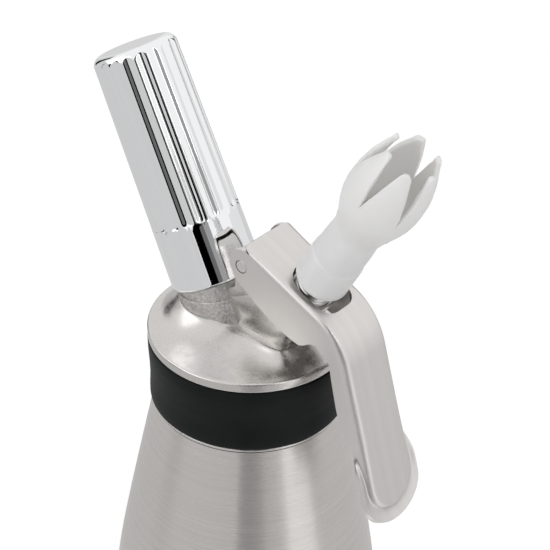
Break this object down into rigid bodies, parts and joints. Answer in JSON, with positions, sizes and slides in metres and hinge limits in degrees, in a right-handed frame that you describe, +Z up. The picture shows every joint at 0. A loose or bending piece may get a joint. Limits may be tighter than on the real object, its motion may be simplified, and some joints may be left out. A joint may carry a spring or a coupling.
{
  "type": "whipped cream dispenser",
  "caption": "Steel whipped cream dispenser: bottle, screw-on cast head with rubber band, squeeze lever on a sprung valve with tulip nozzle, tilted fluted charger holder.",
  "frame": {"origin": "centre of the bottle base, on the surface it stands on", "axes": "+Z up along the bottle axis; +X towards the nozzle and lever, -X towards the charger holder; the object is symmetric left and right of the XZ plane"},
  "size_m": [0.1216, 0.088, 0.2864],
  "materials": {
    "bottle_steel": "circumferentially brushed",
    "cast_steel": "fine satin with bead-blasted boss",
    "grip_rubber": "satin",
    "chrome": "polished",
    "lever_steel": "satin, brushed lengthwise",
    "nozzle_plastic": "moulded, smooth",
    "silicone": "matt",
    "seal_rubber": "matt",
    "steel": "turned",
    "brass": "turned",
    "bush_plastic": "turned",
    "charger_steel": "zinc plated",
    "spring_steel": "drawn wire"
  },
  "bodies": {
    "bottle": {"bottle_shell": "bottle_steel"},
    "gasket": {"head_gasket": "silicone"},
    "head": {"head_casting": "cast_steel", "grip_band": "grip_rubber", "hinge_pin": "steel", "hinge_washers": "bush_plastic", "guide_bush": "bush_plastic", "valve_spring": "spring_steel", "piercing_insert": "brass", "piercing_pin": "steel", "charger_seal": "seal_rubber", "check_retainer": "steel", "check_spring": "spring_steel"},
    "lever_arm": {"lever": "lever_steel"},
    "valve": {"valve_stem": "steel", "valve_oring": "seal_rubber", "valve_seal": "seal_rubber", "seal_washer": "steel", "stem_nut": "steel", "nozzle_adapter": "steel"},
    "nozzle": {"tulip_nozzle": "nozzle_plastic"},
    "charger": {"charger_bulb": "charger_steel", "charger_cap": "charger_steel"},
    "holder": {"charger_holder": "chrome"},
    "check_valve": {"check_disc": "seal_rubber"}
  },
  "joints": [
    {"name": "head_lift", "type": "slide", "parent": "bottle", "child": "gasket", "axis": [0, 0, 1], "range_m": [0, 0.00802]},
    {"name": "head_unscrew", "type": "hinge", "parent": "gasket", "child": "head", "pos_m": [0, 0, 0.1975], "axis": [0, 0, 1], "range_deg": [0, 720]},
    {"name": "lever_squeeze", "type": "hinge", "parent": "head", "child": "lever_arm", "pos_m": [0.0047, 0, 0.2283], "axis": [0, 1, 0], "range_deg": [0, 9], "stiffness_Nm_per_rad": 1.4, "springref_deg": -6.88},
    {"name": "valve_press", "type": "slide", "parent": "head", "child": "valve", "axis": [-0.4848, 0, -0.8746], "range_m": [0, 0.00295], "stiffness_N_per_m": 300, "springref_m": -0.004, "deforming": ["valve_spring"]},
    {"name": "nozzle_turn", "type": "hinge", "parent": "valve", "child": "nozzle", "pos_m": [0.02713, 0, 0.23004], "axis": [0.4848, 0, 0.8746], "range_deg": [0, 1440]},
    {"name": "charger_lift", "type": "slide", "parent": "head", "child": "charger", "axis": [-0.4571, 0, 0.8894], "range_m": [0, 0.01202]},
    {"name": "holder_unscrew", "type": "hinge", "parent": "charger", "child": "holder", "pos_m": [-0.01374, 0, 0.21218], "axis": [-0.4571, 0, 0.8894], "range_deg": [0, 1440]},
    {"name": "check_open", "type": "slide", "parent": "head", "child": "check_valve", "axis": [0.4571, 0, -0.8894], "range_m": [0, 0.001], "stiffness_N_per_m": 100, "springref_m": -0.0005, "deforming": ["check_spring"]}
  ],
  "couplings": [
    {"joint": "head_lift", "follows": "head_unscrew", "m_per_rad": 0.00063662},
    {"joint": "valve_press", "follows": "lever_squeeze", "m_per_rad": 0.0185},
    {"joint": "charger_lift", "follows": "holder_unscrew", "m_per_rad": 0.00047746}
  ]
}
